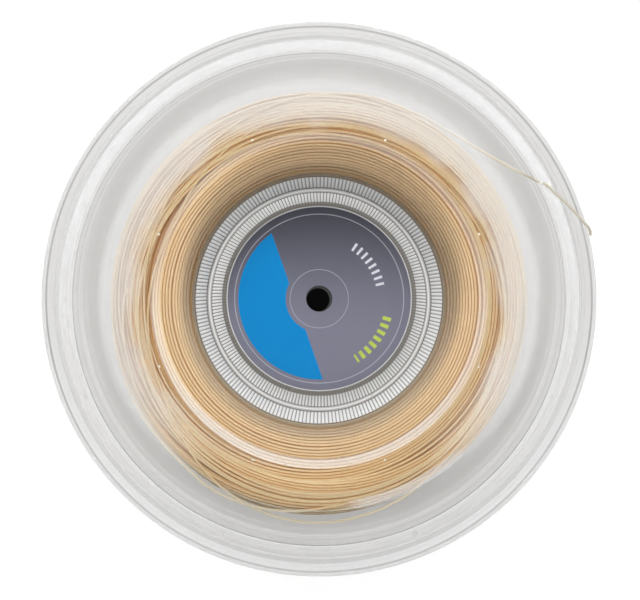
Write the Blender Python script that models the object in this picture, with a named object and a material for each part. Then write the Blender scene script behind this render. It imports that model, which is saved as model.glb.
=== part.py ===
"""A reel of racket string, lying on its back rim with the hub's open side up.

Two flanges of thin clear sheet are drawn to shape. The front one has a deep ribbed hub that passes through
the winding core and seats in a shallow socket in the back one. A round card lies between the two hub floors.
The string is wound on the core, and its end leaves through a hole beside the rim.

Metres, +Z up along the reel's axis, which is the line x = y = 0. The back rim stands at z = 0.
"""

import math
from dataclasses import dataclass

import bmesh
import bpy
import numpy
from mathutils import Vector

# The reel as a whole
REEL_RADIUS = 0.130
REEL_WIDTH = 0.036
SHEET = 0.0008
CLEARANCE = 0.0003

# Each flange, from its edge inwards
LIP_DROP = 0.0030
LIP_ROUND = 0.0017
RIM_LAND = 0.0087
STEP_RUN = 0.0048
STEP_HEIGHT = 0.0060
SWAGE_RADIUS = 0.0812
SWAGE_RUN = 0.0052
SWAGE_HEIGHT = 0.0010

# The hub of the front flange, from its mouth down
MOUTH_RADIUS = 0.0582
MOUTH_CHAMFER = 0.0010
NECK_HEIGHT = 0.0013
LEDGE_DEPTH = 0.0108
LEDGE_RADIUS = 0.0533
LEDGE_RUN = 0.0017
LEDGE_FALL = 0.0003
FOOT_RADIUS = 0.0473
FOOT_ROUND = 0.0010
SPINDLE_HOLE_RADIUS = 0.0060
BACK_FLOOR_LIFT = 0.0010

# The ribs on both bands of the hub's wall
RIB_COUNT = 202
RIB_DEPTH = 0.00045
RIB_RUN_OUT = 0.0004

# Winding core and card
CORE_WALL = 0.0008
CARD_RADIUS = 0.0453
CARD_THICKNESS = 0.0004
CARD_HOLE_RADIUS = 0.0064

# String
STRING_DIAMETER = 0.0013
WINDING_RADIUS = 0.0980
PACK_ROUND = 0.0020
FACE_LOOPS = 12
DRUM_LOOPS = 9
LOOP_POINTS = 24
LOOSE_POINTS = 20
LOOSE_BULGE = 0.0084
LEAST_STRING_GAP = 0.0004

# The string's way out through the front flange
EXIT_ANGLE = math.radians(27.1)
EXIT_HOLE_RADIUS = 0.0012
EXIT_CUTTER_LENGTH = 0.0040
TAIL_POINT_SPACING = 0.0030

# Facets
FLANGE_FACETS = 64
HOLE_FACETS = 24
WINDING_FACETS = 72
EXIT_HOLE_FACETS = 16
SHARP_ANGLE = math.radians(30)

# Places that follow from the sizes above
STRING_RADIUS = STRING_DIAMETER / 2
STEP_TOP_RADIUS = REEL_RADIUS - RIM_LAND
STEP_FOOT_RADIUS = STEP_TOP_RADIUS - STEP_RUN
FRONT_WEB = REEL_WIDTH - STEP_HEIGHT
FRONT_INNER_WEB = FRONT_WEB + SWAGE_HEIGHT
BACK_WEB = STEP_HEIGHT
BACK_INNER_WEB = BACK_WEB - SWAGE_HEIGHT
BACK_FLOOR_TOP = BACK_FLOOR_LIFT + SHEET
CARD_BOTTOM = BACK_FLOOR_TOP + CLEARANCE
FRONT_FLOOR_TOP = CARD_BOTTOM + CARD_THICKNESS + CLEARANCE + SHEET
CORE_INNER_RADIUS = MOUTH_RADIUS + SHEET + CLEARANCE
CORE_RADIUS = CORE_INNER_RADIUS + CORE_WALL


@dataclass(frozen=True)
class Ring:
    """One ring of a turned surface. Every other point of a ribbed ring stands in by the rib's depth."""

    radius: float
    height: float
    facets: int = FLANGE_FACETS
    rib: float = 0.0

    def points(self):
        for index in range(self.facets):
            radius = self.radius - self.rib * (index % 2)
            yield polar(radius, 2 * math.pi * index / self.facets, self.height)


def polar(radius, angle, height):
    return Vector((radius * math.cos(angle), radius * math.sin(angle), height))


def clear_scene():
    for item in list(bpy.data.objects):
        bpy.data.objects.remove(item, do_unlink=True)


def plastic(name, colour, roughness, alpha=1.0):
    made = bpy.data.materials.new(name)
    made.use_nodes = True
    made.diffuse_color = (*colour, alpha)
    shader = made.node_tree.nodes["Principled BSDF"]
    shader.inputs["Base Color"].default_value = (*colour, 1.0)
    shader.inputs["Roughness"].default_value = roughness
    shader.inputs["Metallic"].default_value = 0.0
    shader.inputs["Alpha"].default_value = alpha
    return made


def add_object(name, data, material):
    made = bpy.data.objects.new(name, data)
    made.data.materials.append(material)
    bpy.context.scene.collection.objects.link(made)
    return made


def join_rings(mesh, first, second):
    """Faces between two rings of points. Rings of unlike counts are joined by triangles, in turn round the axis."""
    if len(first) == len(second):
        for index, (a, b) in enumerate(zip(first, second)):
            ahead = (index + 1) % len(first)
            mesh.faces.new((a, first[ahead], second[ahead], b))
        return
    i = j = 0
    while i < len(first) or j < len(second):
        a = first[i % len(first)]
        b = second[j % len(second)]
        if (i + 1) * len(second) <= (j + 1) * len(first):
            i += 1
            mesh.faces.new((a, first[i % len(first)], b))
        else:
            j += 1
            mesh.faces.new((a, second[j % len(second)], b))


def turned_solid(name, rings, material):
    """A closed solid whose rings go once round its section."""
    mesh = bmesh.new()
    loops = [[mesh.verts.new(point) for point in ring.points()] for ring in rings]
    for first, second in zip(loops, loops[1:] + loops[:1]):
        join_rings(mesh, first, second)
    bmesh.ops.recalc_face_normals(mesh, faces=mesh.faces)
    data = bpy.data.meshes.new(name)
    mesh.to_mesh(data)
    mesh.free()
    data.shade_smooth()
    data.set_sharp_from_angle(angle=SHARP_ANGLE)
    return add_object(name, data, material)


def offset_line(line, distance):
    """The (radius, height) line moved sideways, to the left of its direction, with mitred corners."""
    points = numpy.array(line)
    along = numpy.diff(points, axis=0)
    along /= numpy.linalg.norm(along, axis=1)[:, None]
    sideways = numpy.stack([-along[:, 1], along[:, 0]], axis=1)
    before = numpy.vstack([sideways[:1], sideways])
    after = numpy.vstack([sideways, sideways[-1:]])
    mitre = (before + after) / (1 + (before * after).sum(axis=1))[:, None]
    return [tuple(point) for point in points + mitre * distance]


def point_between(start, end, distance):
    """The point of the line from start to end that lies this far from start."""
    share = distance / math.dist(start, end)
    return tuple(a + (b - a) * share for a, b in zip(start, end))


def flange_line():
    """Both flanges' outer face from the lip to the hub, as radius and height above the rim's face."""
    turn = [math.radians(angle) for angle in (0, 45, 90)]
    lip = [
        (REEL_RADIUS - LIP_ROUND * (1 - math.cos(angle)), -LIP_ROUND * (1 - math.sin(angle)))
        for angle in turn
    ]
    return [
        (REEL_RADIUS, -LIP_DROP),
        *lip,
        (STEP_TOP_RADIUS, 0.0),
        (STEP_FOOT_RADIUS, -STEP_HEIGHT),
        (SWAGE_RADIUS, -STEP_HEIGHT),
        (SWAGE_RADIUS - SWAGE_RUN, SWAGE_HEIGHT - STEP_HEIGHT),
    ]


def hub_line():
    """The front hub's face from its mouth to the floor's edge, as radius and height."""
    neck_top = FRONT_INNER_WEB - MOUTH_CHAMFER
    ledge = FRONT_INNER_WEB - LEDGE_DEPTH
    return [
        (MOUTH_RADIUS + MOUTH_CHAMFER, FRONT_INNER_WEB),
        (MOUTH_RADIUS, neck_top),
        (MOUTH_RADIUS, neck_top - NECK_HEIGHT),
        (LEDGE_RADIUS, ledge),
        (LEDGE_RADIUS - LEDGE_RUN, ledge - LEDGE_FALL),
        (FOOT_RADIUS, FRONT_FLOOR_TOP + FOOT_ROUND),
        (FOOT_RADIUS - FOOT_ROUND, FRONT_FLOOR_TOP),
    ]


def ribbed_band(top, bottom):
    """The two ribbed rings of a band, each a run-out away from the band's end."""
    ends = (
        point_between(top, bottom, RIB_RUN_OUT),
        point_between(bottom, top, RIB_RUN_OUT),
    )
    return [Ring(radius, height, 2 * RIB_COUNT, RIB_DEPTH) for radius, height in ends]


def shell_rings(line, face_rings):
    """The rings of a shell: its face, whose rings are given, then its other side, one sheet away, back to the lip."""
    hidden = offset_line(line, SHEET)
    other_side = [Ring(radius, height) for radius, height in hidden[:-1]]
    hole = Ring(SPINDLE_HOLE_RADIUS, hidden[-1][1], HOLE_FACETS)
    return [*face_rings, hole, *reversed(other_side)]


def make_front_flange(material):
    rim = [(radius, REEL_WIDTH + height) for radius, height in flange_line()]
    hub = hub_line()
    line = [*rim, *hub, (SPINDLE_HOLE_RADIUS, FRONT_FLOOR_TOP)]
    mouth, neck_top, neck, ledge, ledge_end, foot, floor_edge = (Ring(*point) for point in hub)
    face = [
        *(Ring(*point) for point in rim),
        mouth,
        neck_top,
        neck,
        *ribbed_band(hub[2], hub[3]),
        ledge,
        ledge_end,
        *ribbed_band(hub[4], hub[5]),
        foot,
        floor_edge,
        Ring(SPINDLE_HOLE_RADIUS, FRONT_FLOOR_TOP, HOLE_FACETS),
    ]
    return turned_solid("front_flange", shell_rings(line, face), material)


def socket_line():
    """The back hub's outer face. Inside, it follows the front hub's foot at a clearance."""
    _, _, _, _, ledge_end, foot, _ = hub_line()
    draft = (ledge_end[0] - foot[0]) / (ledge_end[1] - foot[1])
    wall = 2 * SHEET * math.hypot(1.0, draft) + CLEARANCE
    top_radius = foot[0] + draft * (BACK_INNER_WEB + SHEET - foot[1]) + wall
    bottom_radius = foot[0] + draft * (BACK_FLOOR_TOP - foot[1]) + wall
    return [(top_radius, BACK_INNER_WEB), (bottom_radius, BACK_FLOOR_LIFT)]


def make_back_flange(material):
    upright = [*((radius, -height) for radius, height in flange_line()), *socket_line()]
    upright.append((SPINDLE_HOLE_RADIUS, BACK_FLOOR_LIFT))
    mirrored = [(radius, -height) for radius, height in upright]
    face = [Ring(radius, height) for radius, height in mirrored[:-1]]
    face.append(Ring(*mirrored[-1], HOLE_FACETS))
    rings = [
        Ring(ring.radius, -ring.height, ring.facets) for ring in shell_rings(mirrored, face)
    ]
    return turned_solid("back_flange", rings, material)


def make_winding_core(material):
    bottom = BACK_INNER_WEB + SHEET + CLEARANCE
    top = FRONT_INNER_WEB - SHEET - CLEARANCE
    rings = [
        Ring(CORE_INNER_RADIUS, bottom),
        Ring(CORE_RADIUS, bottom),
        Ring(CORE_RADIUS, top),
        Ring(CORE_INNER_RADIUS, top),
    ]
    return turned_solid("winding_core", rings, material)


def make_card(material):
    top = CARD_BOTTOM + CARD_THICKNESS
    rings = [
        Ring(CARD_HOLE_RADIUS, CARD_BOTTOM, HOLE_FACETS),
        Ring(CARD_RADIUS, CARD_BOTTOM),
        Ring(CARD_RADIUS, top),
        Ring(CARD_HOLE_RADIUS, top, HOLE_FACETS),
    ]
    return turned_solid("label_card", rings, material)


def pack_radius():
    """The plain core of the winding, under the chords of the outer turns."""
    chord = WINDING_RADIUS * math.cos(math.pi / LOOP_POINTS)
    return chord - STRING_RADIUS - CLEARANCE


def face_turn_height():
    """The centre of the turns that lie under the front web."""
    return FRONT_WEB - SHEET - CLEARANCE - STRING_RADIUS


def make_string_pack(material):
    inner = CORE_RADIUS + CLEARANCE
    outer = pack_radius()
    bottom = BACK_WEB + SHEET + CLEARANCE
    top = face_turn_height() - STRING_RADIUS - LEAST_STRING_GAP
    section = [
        (inner, bottom),
        (outer - PACK_ROUND, bottom),
        (outer, bottom + PACK_ROUND),
        (outer, top - PACK_ROUND),
        (outer - PACK_ROUND, top),
        (inner, top),
    ]
    rings = [Ring(radius, height, WINDING_FACETS) for radius, height in section]
    return turned_solid("string_pack", rings, material)


def loose_radius():
    """The loose turn lies over the drum's turns, one string and a gap further out."""
    return WINDING_RADIUS + STRING_DIAMETER + 1.5 * LEAST_STRING_GAP


def exit_radius():
    """The exit hole's place in the sloping step, a little above its middle."""
    return STEP_FOOT_RADIUS + 0.62 * STEP_RUN


def leaving_angle():
    """Where the string leaves the winding, so that it runs straight to the exit hole."""
    return EXIT_ANGLE + math.acos(loose_radius() / exit_radius())


def winding_route():
    """The outer turns' centreline, clockwise from above: out over the front face, down the drum, and a loose turn back up."""
    face_height = face_turn_height()
    first_radius = CORE_RADIUS + 2 * STRING_DIAMETER
    last_radius = WINDING_RADIUS - STRING_DIAMETER
    drum_top = face_height - STRING_DIAMETER - LEAST_STRING_GAP
    drum_bottom = BACK_WEB + SHEET + STRING_DIAMETER
    tail_height = drum_top - STRING_DIAMETER
    corner = 0.25
    lift = 0.15
    drum_start = FACE_LOOPS + corner
    loose_start = drum_start + DRUM_LOOPS
    end = loose_start + LOOSE_POINTS / LOOP_POINTS
    stations = (0.0, FACE_LOOPS, drum_start, loose_start, loose_start + lift, end)
    radii = (first_radius, last_radius, WINDING_RADIUS, WINDING_RADIUS, loose_radius(), loose_radius())
    heights = (face_height, face_height, drum_top, drum_bottom, drum_bottom, tail_height)
    count = round(end * LOOP_POINTS)
    turns = numpy.arange(count + 1) / LOOP_POINTS
    route = []
    for turn in turns:
        angle = leaving_angle() + 2 * math.pi * (turns[-1] - turn)
        loose = max(0.0, (turn - loose_start) / (end - loose_start))
        bulge = LOOSE_BULGE * math.sin(math.pi * min(1.0, 1.8 * loose)) ** 2
        radius = numpy.interp(turn, stations, radii) + bulge
        route.append(polar(radius, angle, numpy.interp(turn, stations, heights)))
    return straight_ends(route)


def tangent(point):
    """The clockwise direction round the axis at a point."""
    return Vector((point.y, -point.x, 0.0)).normalized()


def straight_ends(route):
    """The route with a straight run of two string diameters at either end."""
    run = 2 * STRING_DIAMETER
    return [route[0] - tangent(route[0]) * run, *route, route[-1] + tangent(route[-1]) * run]


def tail_stations():
    """The free end's route, from the winding under the web, up through the step, over the rim and down past the lip."""
    start = winding_route()[-1]
    ahead = tangent(polar(1.0, leaving_angle(), 0.0))
    over = STRING_RADIUS + CLEARANCE
    hole = exit_radius()
    wall = REEL_WIDTH - STEP_HEIGHT * (STEP_TOP_RADIUS - hole) / STEP_RUN
    below = FRONT_WEB - SHEET - 2 * over
    millimetre = 0.001
    places = (
        (STEP_FOOT_RADIUS - 0.6 * millimetre, 2.8, below),
        (hole - 0.5 * millimetre, 0.7, FRONT_WEB - 1.0 * millimetre),
        (hole, 0.0, wall - 0.3 * millimetre),
        (hole + 0.6 * millimetre, -1.1, REEL_WIDTH + 0.1 * millimetre),
        (STEP_TOP_RADIUS + 0.2 * millimetre, -2.9, REEL_WIDTH + over),
        (REEL_RADIUS - 4.8 * millimetre, -6.7, REEL_WIDTH + over),
        (REEL_RADIUS - 1.2 * millimetre, -10.4, REEL_WIDTH + over),
        (REEL_RADIUS + 0.65 * over, -12.0, REEL_WIDTH + 0.1 * over),
        (REEL_RADIUS + 1.1 * over, -12.9, REEL_WIDTH - LIP_DROP / 2),
        (REEL_RADIUS + 1.1 * over, -13.4, REEL_WIDTH - LIP_DROP),
    )
    led_on = [start + ahead * distance for distance in (CLEARANCE, 4 * STRING_DIAMETER)]
    return led_on + [
        polar(radius, EXIT_ANGLE + math.radians(degrees), height)
        for radius, degrees, height in places
    ]


def smooth_route(stations, spacing):
    """Evenly spaced points on a smooth curve through the stations."""
    knots = numpy.array(stations)
    gaps = numpy.linalg.norm(numpy.diff(knots, axis=0), axis=1)
    at = numpy.concatenate([[0.0], numpy.cumsum(gaps)])
    slopes = numpy.gradient(knots, at, axis=0)
    slopes[0] = (knots[1] - knots[0]) / gaps[0]
    slopes[-1] = (knots[-1] - knots[-2]) / gaps[-1]
    dense = []
    for index, gap in enumerate(gaps):
        for t in numpy.linspace(0.0, 1.0, 20, endpoint=index == len(gaps) - 1):
            dense.append(
                (2 * t**3 - 3 * t**2 + 1) * knots[index]
                + (t**3 - 2 * t**2 + t) * gap * slopes[index]
                + (3 * t**2 - 2 * t**3) * knots[index + 1]
                + (t**3 - t**2) * gap * slopes[index + 1]
            )
    dense = numpy.array(dense)
    run = numpy.concatenate([[0.0], numpy.cumsum(numpy.linalg.norm(numpy.diff(dense, axis=0), axis=1))])
    places = numpy.linspace(0.0, run[-1], round(run[-1] / spacing) + 1)
    return [Vector(numpy.interp(place, run, dense[:, axis]) for axis in range(3)) for place in places]


def string_tube(name, route, material):
    curve = bpy.data.curves.new(name, "CURVE")
    curve.dimensions = "3D"
    curve.twist_mode = "Z_UP"
    curve.bevel_depth = STRING_RADIUS
    curve.bevel_resolution = 1
    curve.use_fill_caps = True
    spline = curve.splines.new("POLY")
    spline.points.add(len(route) - 1)
    for target, point in zip(spline.points, route):
        target.co = (*point, 1.0)
    return add_object(name, curve, material)


def least_gap(route):
    """The least distance between the tube's surfaces, a third of a turn or more apart along it."""
    points = numpy.array(route)
    shares = numpy.linspace(0.0, 1.0, 4, endpoint=False)[:, None]
    fine = numpy.vstack([a + (b - a) * shares for a, b in zip(points, points[1:])])
    apart = len(shares) * LOOP_POINTS // 3
    least = min(
        numpy.linalg.norm(fine[index + apart :] - fine[index], axis=1).min()
        for index in range(len(fine) - apart)
    )
    return least - STRING_DIAMETER


def cut_exit_hole(flange, stations):
    """A round hole through the step, square to the string that passes it."""
    below, centre, above = stations[3:6]
    mesh = bmesh.new()
    bmesh.ops.create_cone(
        mesh,
        cap_ends=True,
        segments=EXIT_HOLE_FACETS,
        radius1=EXIT_HOLE_RADIUS,
        radius2=EXIT_HOLE_RADIUS,
        depth=EXIT_CUTTER_LENGTH,
    )
    data = bpy.data.meshes.new("exit_hole_cutter")
    mesh.to_mesh(data)
    mesh.free()
    cutter = bpy.data.objects.new("exit_hole_cutter", data)
    cutter.location = centre
    cutter.rotation_euler = (above - below).to_track_quat("Z", "Y").to_euler()
    cutter.hide_render = True
    cutter.display_type = "WIRE"
    bpy.context.scene.collection.objects.link(cutter)
    cut = flange.modifiers.new("exit_hole", "BOOLEAN")
    cut.operation = "DIFFERENCE"
    cut.object = cutter


def main():
    clear_scene()
    clear_sheet = plastic("clear_sheet", (0.90, 0.92, 0.93), 0.08, alpha=0.25)
    natural_core = plastic("natural_core", (0.80, 0.80, 0.78), 0.45)
    printed_card = plastic("printed_card", (0.19, 0.20, 0.23), 0.35)
    string = plastic("natural_string", (0.72, 0.55, 0.34), 0.35)

    front = make_front_flange(clear_sheet)
    make_back_flange(clear_sheet)
    make_winding_core(natural_core)
    make_card(printed_card)
    make_string_pack(string)

    turns = winding_route()
    string_tube("string_outer_turns", turns, string)
    stations = tail_stations()
    string_tube("string_tail", smooth_route(stations, TAIL_POINT_SPACING), string)
    cut_exit_hole(front, stations)
    print(f"Least gap between the outer turns: {least_gap(turns) * 1000:.2f} mm")


if __name__ == "__main__":
    main()
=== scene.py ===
"""The looks of a reel of racket string: clear flanges, ribbed hub, printed card and string."""

import math
import random

import bmesh
import bpy
from bpy.props import FloatProperty, FloatVectorProperty, IntProperty, PointerProperty
from mathutils import Matrix, Vector


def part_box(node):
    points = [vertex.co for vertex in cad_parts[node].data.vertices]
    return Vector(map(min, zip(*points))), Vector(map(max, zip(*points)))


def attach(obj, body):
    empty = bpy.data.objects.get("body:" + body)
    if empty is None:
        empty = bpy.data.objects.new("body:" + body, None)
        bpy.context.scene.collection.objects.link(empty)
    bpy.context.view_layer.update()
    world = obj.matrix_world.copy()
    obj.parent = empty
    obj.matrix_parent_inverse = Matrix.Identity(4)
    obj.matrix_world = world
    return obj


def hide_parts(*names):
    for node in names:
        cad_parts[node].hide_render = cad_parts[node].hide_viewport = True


bl_info = {
    "name": "Racket String Reel",
    "version": (1, 0, 0),
    "blender": (4, 5, 0),
    "location": "3D View > Sidebar > String Reel",
    "description": "Models a reel's clear flanges, hub, card and string, and the stage around it",
    "category": "Add Mesh",
}

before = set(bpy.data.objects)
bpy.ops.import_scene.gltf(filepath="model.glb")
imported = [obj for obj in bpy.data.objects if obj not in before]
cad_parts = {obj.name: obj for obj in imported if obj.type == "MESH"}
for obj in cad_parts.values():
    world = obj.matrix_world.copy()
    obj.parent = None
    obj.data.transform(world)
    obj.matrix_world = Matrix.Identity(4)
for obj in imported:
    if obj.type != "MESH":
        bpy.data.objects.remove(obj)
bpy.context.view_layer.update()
MM = 0.001

FLANGE_LOW, FLANGE_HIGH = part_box("front_flange")
CORE_LOW, CORE_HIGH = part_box("winding_core")
CARD_LOW, CARD_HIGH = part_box("label_card")

SHEET = 0.8 * MM
STEP_HEIGHT = 6.0 * MM
CORE_WALL = 0.8 * MM
CARD_HOLE_RADIUS = 6.4 * MM
FLOOR_RIM = 1.9 * MM
EXIT_HOLE_RADIUS = 1.2 * MM
SOCKET_LIFT = 1.0 * MM
SOCKET_GAP = 0.3 * MM
LONG_RUN = 4.0 * MM
RUN_SUPPORT = 0.3 * MM
ON_RING = 0.01 * MM

FIRST_TURN = 0.56
FREE_EDGE = 0.8 * MM
DRUM_START = math.radians(60)
SAG_TURNS = 8
SAG = 4.5 * MM
SAG_ANGLE = 1.69
LOOSE_RADIUS = 99.9 * MM
EXIT_ANGLE = math.radians(27.1)
EXIT_RADIUS = 119.476 * MM
LEAVING_ANGLE = EXIT_ANGLE + math.acos(LOOSE_RADIUS / EXIT_RADIUS)
TAIL_START = 25.25 * MM

# The last turns: angles in degrees, and radii and heights in millimetres. The climb's heights are
# above the drum's foot, and the loose turns' heights are above the top of the winding.
CLIMB = ((60, 98.0, 0.0), (30, 98.5, 3.0), (0, 98.9, 9.0))
LOOSE_TURNS = (
    (-30, 99.0, -5.0),
    (-55, 98.4, -1.2),
    (-81, 97.0, -0.4),
    (-89, 98.6, -0.3),
    (-96, 100.6, -0.4),
    (-104, 102.3, -0.6),
    (-113, 103.2, -0.8),
    (-121, 103.0, -0.8),
    (-128, 101.4, -0.6),
    (-137, 100.3, -0.5),
    (-148, 100.0, -0.5),
    (-165, 98.7, -0.5),
    (-190, 97.2, -0.5),
    (-220, 96.2, -0.5),
    (-250, 96.0, -0.5),
    (-280, 96.4, -0.4),
    (-310, 96.0, -0.3),
    (-340, 95.0, -0.2),
    (-375, 94.3, -0.1),
    (-405.6, 95.2, 0.0),
    (-414.8, 97.5, -0.1),
    (-426.7, 101.7, -0.8),
    (-439.5, 104.8, -1.6),
    (-450.7, 106.0, -2.0),
    (-463, 104.6, -1.6),
    (-473, 101.8, -0.8),
    (-484.5, 96.9, 0.0),
    (-495.8, 91.4, 0.15),
    (-508, 86.4, 0.2),
    (-530, 83.0, 0.2),
    (-560, 84.0, 0.15),
    (-590, 89.0, 0.1),
    (-620, 95.2, 0.0),
    (-645, 99.2, -1.6),
)
# The tail's radii in millimetres, degrees from the exit hole, and heights in millimetres.
TAIL_TURNS = (
    (115.9, 2.8, 27.3),
    (118.976, 0.7, 29.0),
    (119.476, 0.0, 33.42),
    (120.076, -1.1, 36.1),
    (121.5, -2.9, 36.95),
    (125.2, -6.7, 36.95),
    (128.8, -10.4, 36.95),
    (130.618, -12.0, 36.095),
    (131.045, -12.9, 34.5),
    (131.045, -13.4, 33.0),
)

BLACK = (0.0, 0.0, 0.0)
WHITE = (1.0, 1.0, 1.0)
IOR_PLASTIC = 1.5
LAMP_PLACE = (-0.12, 0.78, 1.05)
LAMP_SIZE = 0.9


def length(name, description, default):
    """A property that holds a length in metres."""
    return FloatProperty(
        name=name, description=description, default=default, min=0.0, precision=5, unit="LENGTH"
    )


def amount(name, description, default):
    """A property that holds a plain number above nought."""
    return FloatProperty(name=name, description=description, default=default, min=0.0)


def count(name, description, default, least):
    """A property that holds a whole number."""
    return IntProperty(name=name, description=description, default=default, min=least)


def colour(name, description, default):
    """A property that holds a linear colour."""
    return FloatVectorProperty(
        name=name,
        description=description,
        default=default,
        size=3,
        min=0.0,
        max=1.0,
        subtype="COLOR",
    )


class FlangeSizes(bpy.types.PropertyGroup):
    """Sizes that both flanges share"""

    radius: length("Radius", "Outer radius of both flanges", FLANGE_HIGH.x)
    sheet: length("Sheet", "Thickness of the clear sheet", SHEET)
    lip_round: length("Lip round", "Radius of the rolled lip", 1.7 * MM)
    lip_drop: length("Lip drop", "How far the lip hangs below the rim's face", 3.0 * MM)
    rim_land: length("Rim land", "Width of the rim from the edge to the step", 8.7 * MM)
    step_run: length("Step run", "Width of the sloping step", 4.8 * MM)
    step_height: length("Step height", "How far the web lies below the rim", STEP_HEIGHT)
    swage_radius: length("Swage radius", "Outer radius of the raised inner web", 79.6 * MM)
    swage_run: length("Swage run", "Width of the slope up to the inner web", 4.6 * MM)
    swage_height: length("Swage height", "How far the inner web stands up", 1.0 * MM)
    facets: count("Facets", "Points round the back flange, the core and the card", 288, 24)


class HubSizes(bpy.types.PropertyGroup):
    """Sizes of the front flange's hub dish"""

    mouth_radius: length("Mouth radius", "Radius at the top of the hub's wall", 58.2 * MM)
    mouth_chamfer: length("Mouth chamfer", "Chamfer round the mouth", 1.0 * MM)
    neck_height: length("Neck height", "Plain wall above the first ribs", 1.3 * MM)
    ledge_depth: length("Ledge depth", "Depth of the ledge below the inner web", 10.8 * MM)
    ledge_radius: length("Ledge radius", "Outer radius of the ledge", 53.3 * MM)
    ledge_run: length("Ledge run", "Width of the ledge", 1.7 * MM)
    foot_radius: length("Foot radius", "Radius at the foot of the wall", 47.3 * MM)
    foot_round: length("Foot round", "Chamfer between the wall and the floor", 1.0 * MM)
    floor: length("Floor", "Height of the hub's floor", FLANGE_LOW.z + SHEET)
    hole_radius: length("Hole radius", "Radius of the spindle hole", 6.0 * MM)
    rib_count: count("Ribs", "Ribs on each band of the wall", 202, 8)
    rib_depth: length("Rib depth", "How far the ribs stand in", 0.45 * MM)
    rib_run_out: length("Rib run-out", "Length over which a rib fades at its ends", 0.4 * MM)


class StringSizes(bpy.types.PropertyGroup):
    """Sizes of the wound string"""

    diameter: length("Diameter", "The string's diameter", 1.3 * MM)
    drum_radius: length("Drum radius", "Radius of the outermost turns", 98.0 * MM)
    swing: length("Swing", "How far a bundle of turns lies off centre at most", 2.8 * MM)
    crossing_turns: count("Crossing turns", "Slack turns that lie over the bundles", 6, 0)
    turn_points: count("Turn points", "Points on each turn", 96, 24)
    seed: count("Seed", "Seed of the turns' small unevenness", 5, 0)


class Finish(bpy.types.PropertyGroup):
    """Colours of the reel"""

    sheet: colour("Clear sheet", "Tint of the clear sheet", (0.935, 0.932, 0.925))
    wall: colour("Hub wall", "Colour of the hub's ribbed wall", (0.92, 0.91, 0.895))
    core: colour("Core", "Colour of the winding core", (0.36, 0.30, 0.22))
    string_light: colour("String, light", "Lighter colour of the string", (0.86, 0.67, 0.39))
    string_dark: colour("String, dark", "Darker colour of the string", (0.75, 0.52, 0.26))
    card_grey: colour("Card grey", "Ground of the card", (0.135, 0.135, 0.175))
    card_blue: colour("Card blue", "Band on the card", (0.0, 0.235, 0.58))
    card_lime: colour("Card lime", "Small accents on the card", (0.50, 0.62, 0.10))


class StageSettings(bpy.types.PropertyGroup):
    """Camera and light"""

    camera_x: length("Camera X", "Camera's place to the right of the axis", 5.0 * MM)
    camera_y: length("Camera Y", "Camera's place above the axis in the picture", 24.0 * MM)
    camera_height: length("Camera height", "Camera's height above the front rim", 735.0 * MM)
    aim_x: length("Aim X", "Where the camera looks on the front rim, to the right", 0.6 * MM)
    aim_y: length("Aim Y", "Where the camera looks on the front rim, upwards", 0.45 * MM)
    lens: amount("Lens", "Focal length in millimetres", 88.4)
    sky: amount("Sky", "Brightness of the even light", 0.74)
    lamp: amount("Lamp", "Power of the main lamp in watts", 8.5)


def polar(radius, angle, height):
    """A point at this radius, angle and height."""
    return Vector((radius * math.cos(angle), radius * math.sin(angle), height))


def toned(colour_here, red, green=None, blue=None):
    """A colour with its parts scaled, all alike if only one share is given."""
    shares = (red, red, red) if green is None else (red, green, blue)
    return tuple(part * share for part, share in zip(colour_here, shares))


def ring_section(inner, outer, low, high):
    """The section of a plain ring."""
    return [(inner, low), (outer, low), (outer, high), (inner, high)]


def deselect():
    if bpy.context.object and bpy.context.object.mode != "OBJECT":
        bpy.ops.object.mode_set(mode="OBJECT")
    bpy.ops.object.select_all(action="DESELECT")


def select_only(piece):
    deselect()
    piece.select_set(True)
    bpy.context.view_layer.objects.active = piece


def rename(piece, name):
    piece.name = name
    piece.data.name = name
    return piece


def apply_modifier(piece, kind, **settings):
    """Adds a modifier with these settings and applies it."""
    select_only(piece)
    modifier = piece.modifiers.new(kind.lower(), kind)
    for name, setting in settings.items():
        setattr(modifier, name, setting)
    bpy.ops.object.modifier_apply(modifier=modifier.name)


def rounded(line, fillets, sheet, inner_turn, steps):
    """The (radius, height) line with rounded corners, and a point beside each on long, flat runs.

    A corner gets its fillet's radius where it turns the sheet's inner way, or else a sheet more.
    """
    points = [Vector(point) for point in line]
    result = [points[0]]
    for before, corner, after, fillet in zip(points, points[1:], points[2:], fillets[1:]):
        back = before - corner
        ahead = after - corner
        if fillet == 0 or back.angle(ahead) > math.pi - 0.02:
            result.append(corner)
            continue
        turn = ahead.x * back.y - ahead.y * back.x
        radius = fillet if turn * inner_turn > 0 else fillet + sheet
        reach = radius / math.tan(back.angle(ahead) / 2)
        start = corner + back.normalized() * min(reach, 0.45 * back.length)
        end = corner + ahead.normalized() * min(reach, 0.45 * ahead.length)
        if back.length > LONG_RUN:
            result.append(start + back.normalized() * RUN_SUPPORT)
        for step in range(steps + 1):
            t = step / steps
            result.append((1 - t) ** 2 * start + 2 * t * (1 - t) * corner + t**2 * end)
        if ahead.length > LONG_RUN:
            result.append(end + ahead.normalized() * RUN_SUPPORT)
    return [*result, points[-1]]


def offset(line, distance):
    """The line moved sideways, to the left of its direction, with mitred corners."""
    sides = []
    for start, end in zip(line, line[1:]):
        along = (Vector(end) - Vector(start)).normalized()
        sides.append(Vector((-along.y, along.x)))
    result = []
    for point, before, after in zip(line, [sides[0], *sides], [*sides, sides[-1]]):
        result.append(Vector(point) + (before + after) * distance / (1 + before.dot(after)))
    return result


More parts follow.
